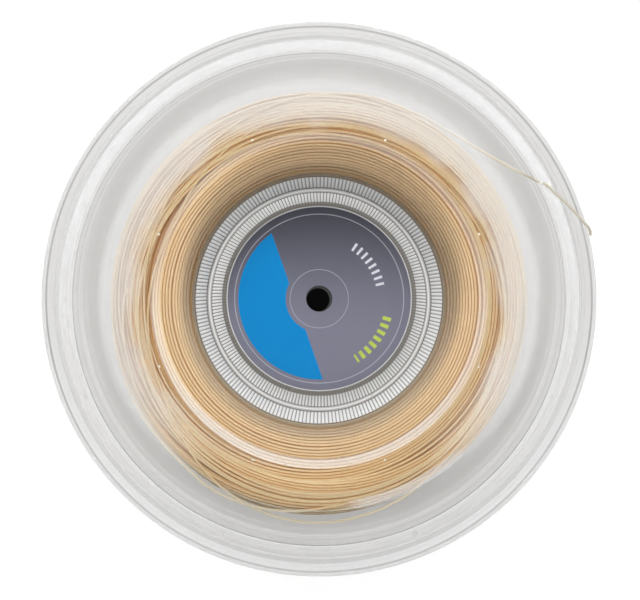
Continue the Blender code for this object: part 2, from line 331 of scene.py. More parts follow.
def turn_section(name, section, facets):
    """A closed turned piece: a circle drawn out ring by ring along a section, its ends bridged."""
    deselect()
    first = section[0]
    bpy.ops.mesh.primitive_circle_add(vertices=facets, radius=first[0], location=(0, 0, first[1]))
    piece = rename(bpy.context.object, name)
    bpy.ops.object.transform_apply(location=True)
    bpy.ops.object.mode_set(mode="EDIT")
    bpy.ops.mesh.select_mode(type="EDGE")
    bpy.ops.mesh.select_all(action="SELECT")
    for before, ring in zip(section, section[1:]):
        rise = (0, 0, ring[1] - before[1])
        bpy.ops.mesh.extrude_edges_move(TRANSFORM_OT_translate={"value": rise})
        scale = ring[0] / before[0]
        bpy.ops.transform.resize(value=(scale, scale, 1), center_override=(0, 0, 0))
    bpy.ops.mesh.select_all(action="DESELECT")
    bpy.ops.mesh.select_non_manifold()
    bpy.ops.mesh.bridge_edge_loops()
    bpy.ops.mesh.select_all(action="SELECT")
    bpy.ops.mesh.normals_make_consistent(inside=False)
    bpy.ops.object.mode_set(mode="OBJECT")
    return piece


def edit(piece, kind):
    """Opens a piece in edit mode, for its points or faces."""
    select_only(piece)
    bpy.ops.object.mode_set(mode="EDIT")
    bpy.ops.mesh.select_mode(type=kind)


def press_ribs(piece, rings, depth, facets):
    """Moves two of every four points of these (radius, height) rings in by the ribs' depth."""
    edit(piece, "VERT")
    for place, height in rings:
        bpy.ops.mesh.select_all(action="DESELECT")
        mesh = bmesh.from_edit_mesh(piece.data)
        for vertex in mesh.verts:
            around = round(math.atan2(vertex.co.y, vertex.co.x) / (2 * math.pi) * facets)
            off_ring = math.hypot(vertex.co.x, vertex.co.y) - place
            on_ring = abs(off_ring) < ON_RING and abs(vertex.co.z - height) < ON_RING
            vertex.select = on_ring and around % 4 in (2, 3)
        bmesh.update_edit_mesh(piece.data)
        scale = 1 - depth / place
        bpy.ops.transform.resize(value=(scale, scale, 1), center_override=(0, 0, 0))
    bpy.ops.object.mode_set(mode="OBJECT")


def finish_piece(piece, material, node, degrees=35):
    """Smooths a piece, gives it its material, puts it under the root body and hides the CAD node
    that it stands for.
    """
    select_only(piece)
    bpy.ops.object.shade_smooth_by_angle(angle=math.radians(degrees))
    piece.data.materials.clear()
    piece.data.materials.append(material)
    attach(piece, "root")
    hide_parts(node)


class Socket:
    """A shader value that adds Math nodes when it is used in an expression."""

    def __init__(self, shader, output):
        self.shader = shader
        self.output = output

    def math(self, operation, first, second=None):
        values = {0: first} if second is None else {0: first, 1: second}
        return self.shader.node("ShaderNodeMath", {"operation": operation}, values)

    def __add__(self, other):
        return self.math("ADD", self, other)

    def __radd__(self, other):
        return self.math("ADD", other, self)

    def __sub__(self, other):
        return self.math("SUBTRACT", self, other)

    def __rsub__(self, other):
        return self.math("SUBTRACT", other, self)

    def __mul__(self, other):
        return self.math("MULTIPLY", self, other)

    def __rmul__(self, other):
        return self.math("MULTIPLY", other, self)

    def __truediv__(self, other):
        return self.math("DIVIDE", self, other)

    def __neg__(self):
        return self.math("MULTIPLY", self, -1.0)

    def out(self, name):
        """Another output of the same node."""
        return Socket(self.shader, self.output.node.outputs[name])


class Shader:
    """A node tree, with one method that adds any node."""

    def __init__(self, tree):
        self.tree = tree
        tree.nodes.clear()

    def node(self, kind, settings=None, values=None, output=0):
        """A node of this kind, its settings made first and then its sockets' values or links."""
        made = self.tree.nodes.new(kind)
        for name, setting in (settings or {}).items():
            setattr(made, name, setting)
        for name, value in (values or {}).items():
            socket = made.inputs[name]
            if isinstance(value, Socket):
                self.tree.links.new(value.output, socket)
            elif socket.type == "RGBA":
                socket.default_value = (*value, 1.0)
            else:
                socket.default_value = value
        return Socket(self, made.outputs[output]) if made.outputs else None

    def step(self, value, low, high):
        """0 below low and 1 above high, smooth between."""
        return self.node(
            "ShaderNodeMapRange",
            {"interpolation_type": "SMOOTHSTEP"},
            {"Value": value, "From Min": low, "From Max": high},
        )

    def band(self, value, low, high, edge):
        """1 between low and high, fading over an edge's width outside them."""
        return self.step(value, low - edge, low) * (1 - self.step(value, high, high + edge))

    def mix(self, factor, first, second):
        """A mix of two colours."""
        values = {0: factor, 6: first, 7: second}
        return self.node("ShaderNodeMix", {"data_type": "RGBA"}, values, 2)

    def paint(self, ground, *coats):
        """The ground with coats over it, each a mask and a colour."""
        for mask, coat in coats:
            ground = self.mix(mask, ground, coat)
        return ground

    def noise(self, vector, scale, detail=2.0, roughness=0.5):
        values = {"Vector": vector, "Scale": scale, "Detail": detail, "Roughness": roughness}
        return self.node("ShaderNodeTexNoise", None, values)

    def position(self):
        return self.node("ShaderNodeTexCoord", output="Object")

    def split(self, vector):
        x = self.node("ShaderNodeSeparateXYZ", None, {0: vector})
        return x, x.out("Y"), x.out("Z")

    def join(self, x, y, z):
        return self.node("ShaderNodeCombineXYZ", None, {0: x, 1: y, 2: z})

    def distance(self, x, y):
        squares = x * x + y * y
        return squares.math("SQRT", squares)

    def bump(self, height, distance, strength=1.0):
        values = {"Height": height, "Distance": distance, "Strength": strength}
        return self.node("ShaderNodeBump", None, values)

    def principled(self, values):
        return self.node("ShaderNodeBsdfPrincipled", None, values)

    def light_path(self, name):
        return self.node("ShaderNodeLightPath", output=name)

    def blend(self, factor, first, second):
        """A mix of two surfaces."""
        return self.node("ShaderNodeMixShader", None, {0: factor, 1: first, 2: second})

    def finish(self, surface, shadow=None):
        """Links the surface to the output. Where a shadow's tint is given, lamps shine through."""
        if shadow:
            clear = self.node("ShaderNodeBsdfTransparent", None, {"Color": shadow})
            surface = self.blend(self.light_path("Is Shadow Ray"), surface, clear)
        self.node("ShaderNodeOutputMaterial", None, {"Surface": surface})


def new_material(name):
    material = bpy.data.materials.new(name)
    material.use_nodes = True
    return material, Shader(material.node_tree)


def clear_material(tint, edge, front):
    """Clear formed sheet, slightly wavy, with fine flow lines out from the axis.

    Lamps shine through it. On both, the step's wall, except towards the bottom, and the rim from
    the step outwards are whitened as a painted highlight, and the crease by the lip is darkened as
    painted shade. The front one has round pips on its step and its web. Its rim's highlight lies
    mostly towards the bottom, its step glows faintly with painted light, its crease shade is
    stronger towards the bottom and also darkens the step's foot, and its small pips glint with a
    painted highlight. A rough white veil of painted reflection lies over its upper winding, on its
    step, and in a ring and a short streak of glare on its web.
    """
    material, shader = new_material("clear_sheet")
    place = shader.position()
    x, y, z = shader.split(place)
    radius = shader.distance(x, y)
    angle = radius.math("ARCTAN2", y, x)
    rise = y / radius

    def beyond(inner, outer):
        """0 up to the first ring and 1 from the second, both in millimetres from the edge."""
        return shader.step(radius, edge - inner * MM, edge - outer * MM)

    def ring(inner, outer, fade):
        """1 between two rings, all in millimetres from the edge."""
        return shader.band(radius, edge - inner * MM, edge - outer * MM, fade * MM)

    waves = shader.noise(place, 45.0, 2.0)
    flow = shader.noise(shader.join(angle * 30.0, radius * 14.0, z * 14.0), 1.0, 3.0, 0.6)
    scuffs = shader.step(shader.noise(place, 420.0, 4.0, 0.7), 0.55, 0.75)
    relief = (waves * 0.8 + flow * 0.2) * (beyond(13.0, 11.0) * 0.00002 + 0.000025)
    lip = beyond(1.9, 1.3)
    # Painted highlight: the rim from the step outwards is whitened.
    land = beyond(8.9, 8.5)
    # Painted shade: the crease by the lip is darkened.
    crease = ring(2.6, 1.9, 0.25)
    # Painted highlight: the step's wall is whitened, fading towards the bottom.
    step_highlight = ring(11.7, 8.9, 0.4) * shader.step(rise, -1.1, 0.3)
    if front:
        low_side = shader.step(-rise, -0.2, 0.7)
        # Painted highlight on the front rim, mostly towards the bottom.
        rim_land = beyond(6.4, 6.0) * low_side
        land = land * 0.15 + rim_land * 0.85
        # Painted shade in the creases, stronger towards the bottom, on the lower lip and at the
        # step's foot.
        lines = crease * 0.65 * (low_side * 1.6 + 1.1) + lip * low_side * 0.15
        lines = lines + ring(13.85, 13.5, 0.1) * 0.8
        neck = 1 - beyond(68.8, 67.6)
        # Less alpha lets more show through on the upper lip, the step, the low rim and the neck; on
        # the step and the rim this adds to their painted highlight.
        clearer = lip * (1 - low_side) * 0.35 + step_highlight * 0.4 + rim_land * 0.4 + neck * 0.85
        eighth = angle.math("PINGPONG", angle, math.pi / 8) - math.pi / 8
        large = pip(shader, eighth, radius, edge - 10.3 * MM, 1.5 * MM)
        small = pip(shader, eighth, radius, edge - 48.3 * MM, 0.65 * MM)
        relief = relief + (large + small) * 0.00025
    else:
        # Painted shade: a fainter darkened crease on the back.
        lines = crease * 0.2
        clearer = lip * 0.85 + ring(7.4, 2.6, 0.4) * shader.step(rise, -0.7, 0.5) * 0.6
    surface = shader.principled(
        {
            "Base Color": shader.paint(tint, (step_highlight + land, WHITE), (lines, toned(tint, 0.55))),
            "Roughness": scuffs * 0.08 + lip * 0.4 + 0.02,
            "IOR": IOR_PLASTIC,
            "Transmission Weight": 1.0,
            "Alpha": 1.0 - clearer,
            # Painted light: the front step glows faintly, more towards the top.
            "Emission Color": shader.mix(step_highlight * shader.step(rise, -0.3, 0.7), BLACK, WHITE),
            "Emission Strength": 0.09 if front else 0.0,
            "Normal": shader.bump(relief, 1.0),
        }
    )
    if front:
        # Painted reflection: a rough white surface is mixed in over the upper winding, on the step,
        # and in a ring and a short streak of glare on the web; the small pips glint with a
        # cream-white painted highlight.
        reflection_white = shader.paint(
            (0.80, 0.80, 0.80),
            (step_highlight * shader.step(rise, -0.5, 0.8), (0.98, 0.98, 1.0)),
            (small, (1.0, 0.95, 0.80)),
        )
        upper = 1 - shader.step(-rise, 0.35, 0.85)
        reflection_veil = shader.step(radius + (waves - 0.5) * 0.02, edge - 48.0 * MM, edge - 38.0 * MM)
        reflection_veil = reflection_veil * (1 - beyond(30.0, 24.0)) * upper
        glare = ring(53.8, 51.4, 1.6) * (1 - upper * 0.65)
        streak = ring(33.6, 30.2, 0.8) * shader.band(angle, -1.32, -0.90, 0.15)
        for mask in (glare, streak, step_highlight):
            reflection_veil = reflection_veil.math("MAXIMUM", reflection_veil, mask)
        painted_reflection = shader.principled({"Base Color": reflection_white, "Roughness": 0.5})
        surface = shader.blend(reflection_veil * 0.23 + small * 0.77, surface, painted_reflection)
    shader.finish(surface, (0.97, 0.97, 0.97))
    return material


def pip(shader, turn, radius, ring, size):
    """1 on a round pip on a ring, falling to 0 at its edge. turn is the angle from its middle."""
    reach = shader.distance(turn * radius, radius - ring)
    return 1 - shader.step(reach, size * 0.4, size)


def ribbed_material(base, hub):
    """The hub's moulded wall: cloudy bars, with painted shade in the grooves between them.

    Painted shade also darkens the ledge's two edges and the wall's foot, and the ledge is darker
    but for a thin painted glint. The lower band's shading normals are bent upwards and its bars
    glow with painted light, more towards the top and the left. The upper band is darker towards the
    top by painted shade, less so on the left. The brim beyond the ribs is painted in the tone of
    shaded string, darker towards the top, with a painted shadow line at its foot.
    """
    material, shader = new_material("ribbed_wall")
    place = shader.position()
    x, y, _ = shader.split(place)
    radius = shader.distance(x, y)
    angle = radius.math("ARCTAN2", y, x)
    rise = y / radius
    to_left = -x / radius
    ledge = hub.ledge_radius
    ledge_end = ledge - hub.ledge_run
    mouth = hub.mouth_radius

    def beyond(ring, low, high):
        """0 up to and 1 from two distances in millimetres outwards from a ring."""
        return shader.step(radius, ring + low * MM, ring + high * MM)

    def around(ring, low, high, fade):
        """1 between two distances in millimetres outwards from a ring."""
        return shader.band(radius, ring + low * MM, ring + high * MM, fade * MM)

    wave = angle.math("COSINE", angle * hub.rib_count - 2 * math.pi * 0.625)
    bars = shader.step(wave, -0.85, -0.35)
    smooth_part = shader.band(radius, ledge_end - 0.1 * MM, ledge + 0.1 * MM, 0.15 * MM)
    bars = bars.math("MAXIMUM", bars, smooth_part)
    # Painted highlight: a thin line on the ledge stays bright.
    glint = around(ledge, -1.1, -0.8, 0.2)
    # Painted shade at the ledge's two edges and at the wall's foot.
    crease_shade = around(ledge, 0.05, 0.35, 0.15) + around(ledge_end, -0.4, -0.15, 0.15)
    crease_shade = crease_shade + (1 - beyond(hub.foot_radius, -0.2, 0.3))
    crease_shade = crease_shade.math("MINIMUM", crease_shade, 1.0)
    # The brim is painted in the tone of shaded string, darker towards the top, with a painted
    # shadow line at its foot.
    brim = beyond(mouth, -0.05, 0.1)
    brim_shadow_line = brim * (1 - beyond(mouth, 0.35, 0.6))
    brim_shade_tone = shader.mix(shader.step(rise, -0.9, 0.9), (0.42, 0.32, 0.21), (0.17, 0.115, 0.06))
    brim_shade_tone = shader.mix(brim_shadow_line * 0.8, brim_shade_tone, (0.11, 0.085, 0.06))
    cloud = shader.noise(place, 60.0, 3.0)
    lower = 1 - beyond(ledge_end, -0.5, 0.0)
    # Painted shade: the grooves between the bars, the ledge but for its glint, and the ledge's
    # edges and the wall's foot are darker.
    wall = shader.paint(
        shader.mix(bars, toned(base, 0.36), base),
        (smooth_part * (1 - glint), toned(base, 0.6)),
        (crease_shade * 0.85, (0.125, 0.105, 0.08)),
        (cloud * 0.12, (0.5, 0.5, 0.49)),
    )
    # Painted shade: the upper band is darker towards the top, less so on the left.
    darker = shader.node("ShaderNodeVectorMath", {"operation": "SCALE"}, {0: wall, 3: 0.78})
    top_shade = (1 - lower) * shader.step(rise, -0.2, 0.9) * (1 - shader.step(to_left, 0.1, 0.9) * 0.7)
    # The lower band's shading normals are bent upwards, and its bars glow with painted light, more
    # towards the top and the left.
    lift = shader.join(0.0, 0.0, lower * 2.2 + 0.1)
    glow = shader.step(rise, -1.2, 0.9) * 0.6 + shader.step(to_left, 0.0, 0.8) * 0.35 + 0.2
    glow = lower * bars * (1 - crease_shade) * glow
    facing = shader.bump(shader.noise(place, 700.0), 0.00002)
    upward = shader.node("ShaderNodeVectorMath", {"operation": "ADD"}, {0: facing, 1: lift})
    upward = shader.node("ShaderNodeVectorMath", {"operation": "NORMALIZE"}, {0: upward})
    surface = shader.principled(
        {
            "Base Color": shader.paint(wall, (top_shade, darker), (brim, brim_shade_tone)),
            "Emission Color": shader.mix(glow, BLACK, base),
            "Emission Strength": 0.3,
            "Roughness": cloud * 0.15 + 0.22,
            "Transmission Weight": 0.2,
            "IOR": IOR_PLASTIC,
            "Normal": upward,
        }
    )
    shader.finish(surface, (0.72, 0.72, 0.72))
    return material


def core_material(base):
    """Plain brown-grey plastic, slightly cloudy. Lamps shine through it; painted shade darkens its
    top half and its outer wall glows with painted light.
    """
    material, shader = new_material("plain_core")
    place = shader.position()
    cloud = shader.noise(place, 90.0, 3.0)
    x, y, z = shader.split(place)
    # Painted light: the outer wall glows.
    wall = shader.step(shader.distance(x, y), CORE_HIGH.x - 0.3 * MM, CORE_HIGH.x - 0.1 * MM)
    wall = wall * (1 - shader.step(z, CORE_HIGH.z - 0.3 * MM, CORE_HIGH.z - 0.1 * MM))
    # Painted shade: the top half is darker.
    shade = shader.step(y + (cloud - 0.5) * 0.05, -0.04, 0.04)
    surface = shader.principled(
        {
            "Base Color": shader.mix(shade, base, toned(base, 0.38)),
            "Emission Color": shader.mix(wall, BLACK, (0.78, 0.68, 0.54)),
            "Emission Strength": 0.4,
            "Roughness": cloud * 0.2 + 0.35,
            "Normal": shader.bump(shader.noise(place, 900.0), 0.00003),
        }
    )
    shader.finish(surface, (0.72, 0.66, 0.55))
    return material


def card_material(grey, blue, lime):
    """Printed card: a grey ground, lighter towards the bottom partly in print and partly by painted
    reflection, a blue arc, fine rings, pale bars and lime ticks.
    """
    material, shader = new_material("printed_card")
    place = shader.position()
    x, y, _ = shader.split(place)
    radius = shader.distance(x, y)
    angle = radius.math("ARCTAN2", y, x)

    def ring(inner, outer, fade):
        """1 between two rings, in millimetres."""
        return shader.band(radius, inner * MM, outer * MM, fade * MM)

    def sector(middle):
        """1 within 0.4 radians of an angle."""
        turned = angle.math("ABSOLUTE", angle - middle)
        return 1 - shader.step(turned, 0.40, 0.41)

    left = 1 - shader.step(x + y * 0.35, -0.0122, -0.0118)
    ticks = angle.math("SINE", angle * 60.0)
    grain = shader.noise(place, 2500.0, 2.0)
    # The ground is lighter towards the bottom, partly as print and partly as painted reflection of
    # the clear floor over the card.
    ground = shader.paint(
        shader.mix(shader.step(y, -0.020, 0.052), toned(grey, 1.52), toned(grey, 0.45)),
        (ring(16.5, 39.5, 0.2) * left, blue),
        ((ring(14.2, 14.35, 0.1) + ring(41.2, 41.5, 0.1)) * 0.55, (0.62, 0.63, 0.68)),
        (ring(28.5, 32.5, 0.2) * shader.step(ticks, 0.2, 0.5) * sector(0.62), (0.66, 0.67, 0.72)),
        (ring(32.5, 36.5, 0.2) * shader.step(ticks, -0.2, 0.2) * sector(-0.62), lime),
        (shader.step(radius, 44.75 * MM, 44.9 * MM), (0.80, 0.80, 0.80)),
    )
    surface = shader.principled(
        {
            "Base Color": ground,
            "Roughness": grain * 0.10 + 0.30,
            "Normal": shader.bump(grain, 0.00001),
            "Specular IOR Level": 0.2,
        }
    )
    shader.finish(surface)
    return material


def string_material(name, light, dark, turns):
    """String of fine twisted fibres, darker and richer in colour at its sides as painted shade.

    Its colour wanders along its length and in bands round the reel. Its sides glow faintly with
    painted light. Painted shade darkens it near the hub, more and further out towards the top, and
    outside the middle turns; it is also greyer near the hub. Painted reflection makes the outer
    turns paler except towards the bottom. It is shaded below the winding's edge, and where it lies
    off the winding it is painted paler, except towards the bottom, and darker again further out.
    """
    material, shader = new_material(name)
    along, around, _ = shader.split(shader.node("ShaderNodeUVMap", {"uv_map": "UVMap"}))
    place = shader.position()
    _, _, facing = shader.split(shader.node("ShaderNodeTexCoord", output="Normal"))
    x, y, z = shader.split(place)
    radius = shader.distance(x, y)
    rise = y / radius

    def beyond(inner, outer):
        """0 up to one ring and 1 from another, in millimetres."""
        return shader.step(radius, inner * MM, outer * MM)

    slow = shader.noise(shader.join(along * (turns * 2.0), 0.0, 0.0), 1.0, 3.0, 0.6)
    speckle = shader.noise(place, 700.0, 3.0, 0.6)
    bands = shader.noise(shader.join(radius * 260.0, x * 7.0, y * 7.0), 1.0, 2.0)
    cream = shader.noise(shader.join(radius * 190.0, x * 6.0, y * 6.0 + 40.0), 1.0, 2.0)
    wandering = shader.step(slow * 0.45 + bands * 0.47 + speckle * 0.08, 0.38, 0.62)
    # Painted shade: the sides, where the normal leans away from straight up, are darker and richer
    # in colour.
    side = 1 - shader.step(facing.math("ABSOLUTE", facing), 0.15, 0.75)
    high = shader.step(z, 24.4 * MM, 25.0 * MM)
    pale = beyond(98.9, 100.4) * high
    shaded = beyond(98.7, 99.6) * (1 - high)
    low_side = shader.step(-rise, 0.35, 0.85)
    # Painted reflection: the outer turns are paler, except towards the bottom.
    reflection_paling = beyond(83.0, 91.0) * (1 - low_side)
    # Painted shade: darker outside the middle turns, except at the very bottom, and further out at
    # the bottom.
    dimmed = beyond(75.0, 80.0) * (1 - shader.step(-rise, 0.8, 1.0)) * 0.42
    dimmed = dimmed.math("MAXIMUM", dimmed, beyond(86.0, 94.0) * low_side * 0.6)
    near_hub = 1 - beyond(63.0, 76.0)
    # Painted shade near the hub, reaching further out towards the top.
    reach = shader.distance(x - 2.0 * MM, y - 9.5 * MM)
    painted_hub_shade = 1 - shader.step(reach, CORE_HIGH.x + 0.5 * MM, CORE_HIGH.x + 10.5 * MM)
    # Painted light: the turns off the winding are paler, except towards the bottom, and darker
    # again further out.
    loose = shader.mix(shader.step(rise, -0.95, -0.6), (0.64, 0.57, 0.43), (0.80, 0.74, 0.61))
    loose = shader.mix(beyond(110.0, 116.0), loose, (0.55, 0.51, 0.41))
    # Painted shade: the turns just outside the hub take a darker tone, darker towards the top.
    hub_shade_tone = shader.mix(shader.step(rise, -0.9, 0.9), (0.46, 0.37, 0.28), (0.24, 0.155, 0.08))
    body = shader.paint(
        shader.mix(wandering, dark, light),
        (shader.step(cream, 0.54, 0.70) * 0.6, (0.84, 0.73, 0.57)),
        (dimmed, toned(light, 0.62)),
        (1 - beyond(70.0, 78.0), toned(light, 0.96, 0.94, 0.98)),
        (reflection_paling * 0.75, (0.76, 0.67, 0.53)),
        (side * (1 - reflection_paling * 0.7) * (1 - near_hub * 0.85), toned(dark, 0.85, 0.66, 0.42)),
        (pale, loose),
        (shaded, (0.40, 0.31, 0.19)),
        (painted_hub_shade * 0.8, toned(dark, 0.53, 0.52, 0.55)),
        ((1 - beyond(60.8, 68.8)) * 0.85, hub_shade_tone),
    )
    # Painted light: the sides glow faintly, orange away from the hub and paler near it, and in the
    # tones of the loose and the shaded turns.
    glow = shader.paint(
        shader.mix(near_hub, (1.0, 0.45, 0.09), (0.88, 0.58, 0.32)),
        (pale, (0.75, 0.64, 0.45)),
        (shaded, (0.30, 0.22, 0.12)),
    )
    twist = along.math("SINE", (along * (turns * 130.0) + around * 3.0) * (2 * math.pi))
    surface = shader.principled(
        {
            "Base Color": body,
            "Emission Color": shader.mix(side, BLACK, glow),
            "Emission Strength": 0.15,
            "Roughness": speckle * 0.2 + 0.42,
            "Normal": shader.bump(twist, 0.00001, 0.2),
        }
    )
    shader.finish(surface)
    return material


def body_material(diameter):
    """The string under the modelled turns: shadowed grooves at the string's own spacing."""
    material, shader = new_material("wound_body")
    x, y, z = shader.split(shader.position())
    radius = shader.distance(x, y)
    grooves = radius.math("SINE", (radius + z) * (2 * math.pi / diameter)) * 0.5 + 0.5
    surface = shader.principled(
        {
            "Base Color": shader.mix(grooves, (0.40, 0.21, 0.06), (0.60, 0.35, 0.12)),
            "Roughness": grooves * -0.2 + 0.6,
            "Normal": shader.bump(grooves, 0.0004),
        }
    )
    shader.finish(surface)
    return material


def shell_section(corners, sheet, steps):
    """A shell's section: down its rounded face and back along its other side, one sheet away.

    A corner is a radius, a height and a fillet. The plain lines of both sides come with it.
    """
    fillets = [corner[2] for corner in corners]
    line = [corner[:2] for corner in corners]
    other = offset(line, sheet)
    back = rounded(other, fillets, sheet, 1, steps)
    return [*rounded(line, fillets, sheet, -1, steps), *reversed(back)], (line, other)


def flange_face(sizes):
    """Both flanges' outer face from the lip to the inner web.

    Each corner is a radius, a height above the rim's face, and a fillet.
    """
    step_top = sizes.radius - sizes.rim_land
    web = -sizes.step_height
    swage = sizes.swage_radius
    return [
        (sizes.radius, -sizes.lip_drop, 0.0),
        (sizes.radius, 0.0, sizes.lip_round - sizes.sheet),
        (step_top, 0.0, 0.8 * MM),
        (step_top - sizes.step_run, web, 0.8 * MM),
        (swage, web, 1.0 * MM),
        (swage - sizes.swage_run * 0.4, web + sizes.swage_height * 0.55, 1.0 * MM),
        (swage - sizes.swage_run, web + sizes.swage_height, 3.0 * MM),
    ]


def shortened(start, end, distance):
    """The point this far from start on the way to end."""
    first = Vector(start)
    return first + (Vector(end) - first).normalized() * distance


def hub_face(sizes, hub):
    """The hub's wall as two bands, each from its top to its bottom."""
    web = FLANGE_HIGH.z - sizes.step_height + sizes.swage_height
    ledge = web - hub.ledge_depth
    neck = (hub.mouth_radius, web - hub.mouth_chamfer - hub.neck_height)
    upper = (neck, (hub.ledge_radius, ledge))
    ledge_end = (hub.ledge_radius - hub.ledge_run, ledge - 0.3 * MM)
    return web, (upper, (ledge_end, (hub.foot_radius, hub.floor + hub.foot_round)))


class REEL_OT_front_flange(bpy.types.Operator):
    """Turns the front flange from its section and presses the ribs into its hub"""

    bl_idname = "reel.front_flange"
    bl_label = "Front Flange"

    def execute(self, context):
        sizes = context.scene.reel_flange
        hub = context.scene.reel_hub
        web, bands = hub_face(sizes, hub)
        face = flange_face(sizes)
        corners = [(radius, FLANGE_HIGH.z + height, fillet) for radius, height, fillet in face]
        corners.append((hub.mouth_radius + hub.mouth_chamfer, web, 0.3 * MM))
        corners.append((hub.mouth_radius, web - hub.mouth_chamfer, 0.3 * MM))
        ribbed = []
        for top, bottom in bands:
            corners.append((*top, 0.1 * MM))
            ribbed += [len(corners), len(corners) + 1]
            corners.append((*shortened(top, bottom, hub.rib_run_out), 0.0))
            corners.append((*shortened(bottom, top, hub.rib_run_out), 0.0))
            corners.append((*bottom, 0.1 * MM))
        corners.append((hub.foot_radius - hub.foot_round, hub.floor, 0.2 * MM))
        corners.append((hub.foot_radius - FLOOR_RIM, hub.floor, 0.0))
        corners.append((hub.hole_radius, hub.floor, 0.0))
        facets = 4 * hub.rib_count
        section, sides = shell_section(corners, sizes.sheet, 2)
        piece = turn_section("front_flange_shell", section, facets)
        rings = [side[place] for side in sides for place in ribbed]
        press_ribs(piece, rings, hub.rib_depth, facets)
        self.pierce(piece)
        material = clear_material(context.scene.reel_finish.sheet, sizes.radius, True)
        finish_piece(piece, material, "front_flange", 40)
        self.frost_wall(context, piece, web)
        return {"FINISHED"}

    def frost_wall(self, context, piece, web):
        """Gives the hub's ribbed wall its own cloudier material, with its painted shade and glow.
        """
        hub = context.scene.reel_hub
        piece.data.materials.append(ribbed_material(context.scene.reel_finish.wall, hub))
        low = hub.foot_radius - FLOOR_RIM
        high = hub.mouth_radius + hub.mouth_chamfer
        edit(piece, "FACE")
        bpy.ops.mesh.select_all(action="DESELECT")
        mesh = bmesh.from_edit_mesh(piece.data)
        for face in mesh.faces:
            middle = face.calc_center_median()
            face.select = low < middle.xy.length < high and middle.z < web - 0.05 * MM
        bmesh.update_edit_mesh(piece.data)
        piece.active_material_index = 1
        bpy.ops.object.material_slot_assign()
        bpy.ops.object.mode_set(mode="OBJECT")

    def pierce(self, piece):
        """Cuts the string's exit hole through the step."""
        below, above = tail_stations()[3:6:2]
        middle = tail_stations()[4]
        deselect()
        turn = (above - below).to_track_quat("Z", "Y").to_euler()
        bpy.ops.mesh.primitive_cylinder_add(
            vertices=32, radius=EXIT_HOLE_RADIUS, depth=4.0 * MM, location=middle, rotation=turn
        )
        cutter = bpy.context.object
        apply_modifier(piece, "BOOLEAN", object=cutter)
        bpy.data.objects.remove(cutter, do_unlink=True)


class REEL_OT_back_flange(bpy.types.Operator):
    """Turns the back flange from its section, with the socket for the hub's foot"""

    bl_idname = "reel.back_flange"
    bl_label = "Back Flange"

    def execute(self, context):
        sizes = context.scene.reel_flange
        hub = context.scene.reel_hub
        _, bands = hub_face(sizes, hub)
        (ledge_radius, ledge), (foot_radius, foot) = bands[1]
        draft = (ledge_radius - foot_radius) / (ledge - foot)
        wall = 2 * sizes.sheet * math.hypot(1.0, draft) + SOCKET_GAP
        web = sizes.step_height - sizes.swage_height
        corners = flange_face(sizes)
        corners[3] = (*corners[3][:2], 3.0 * MM)
        for height in (web, SOCKET_LIFT):
            radius = foot_radius + draft * (height + sizes.sheet - foot) + wall
            corners.append((radius, -height, 0.3 * MM))
        corners.append((hub.hole_radius, -SOCKET_LIFT, 0.0))
        section, _ = shell_section(corners, sizes.sheet, 3)
        section = [(radius, -height) for radius, height in section]
        piece = turn_section("back_flange_shell", section, sizes.facets)
        material = clear_material(context.scene.reel_finish.sheet, sizes.radius, False)
        finish_piece(piece, material, "back_flange", 40)
        return {"FINISHED"}


class REEL_OT_core(bpy.types.Operator):
    """Turns the tube that the string is wound on"""

    bl_idname = "reel.core"
    bl_label = "Winding Core"

    def execute(self, context):
        sizes = context.scene.reel_flange
        section = ring_section(CORE_HIGH.x - CORE_WALL, CORE_HIGH.x, CORE_LOW.z, CORE_HIGH.z)
        piece = turn_section("winding_core_tube", section, sizes.facets)
        apply_modifier(piece, "BEVEL", width=0.15 * MM, segments=2)
        material = core_material(context.scene.reel_finish.core)
        finish_piece(piece, material, "winding_core")
        return {"FINISHED"}


class REEL_OT_card(bpy.types.Operator):
    """Cuts the round card and prints it"""

    bl_idname = "reel.card"
    bl_label = "Printed Card"

    def execute(self, context):
        finish = context.scene.reel_finish
        section = ring_section(CARD_HOLE_RADIUS, CARD_HIGH.x, CARD_LOW.z, CARD_HIGH.z)
        piece = turn_section("label_card_print", section, context.scene.reel_flange.facets)
        material = card_material(finish.card_grey, finish.card_blue, finish.card_lime)
        finish_piece(piece, material, "label_card")
        return {"FINISHED"}


def string_heights(sizes):
    """The heights of the turns that lie nearest to the front and the back web."""
    front_web = FLANGE_HIGH.z - STEP_HEIGHT - SHEET
    back_web = STEP_HEIGHT + SHEET
    clear = sizes.diameter / 2 + 0.2 * MM
    return front_web - clear, back_web + clear


def lay_bundles(chance, start, end, pitch, swing, drop):
    """Turns from start to end in bundles that lie side by side, each with its own swing and drop.

    The swing grows outwards. A turn is its radius, its swing to the right and up, its two ovals,
    and its drop below the layer.
    """
    turns = []
    radius = start
    while radius < end:
        share = (radius - start) / (end - start)
        reach = swing * (0.05 + 0.95 * share) * chance.uniform(0.35, 1.0)
        heading = chance.uniform(0, 2 * math.pi)
        oval = reach * chance.uniform(0.1, 0.45)
        lean = chance.uniform(0, 2 * math.pi)
        bundle = (
            reach * math.cos(heading),
            reach * math.sin(heading),
            oval * math.cos(lean),
            oval * math.sin(lean),
            drop * chance.random(),
        )
        for _ in range(chance.randint(2, 5)):
            turns.append(Vector((radius, *bundle)))
            radius += pitch * chance.uniform(1.0, 1.07)
        radius += swing * chance.uniform(-0.25, 0.45) * share + 0.2 * MM * share
    return turns


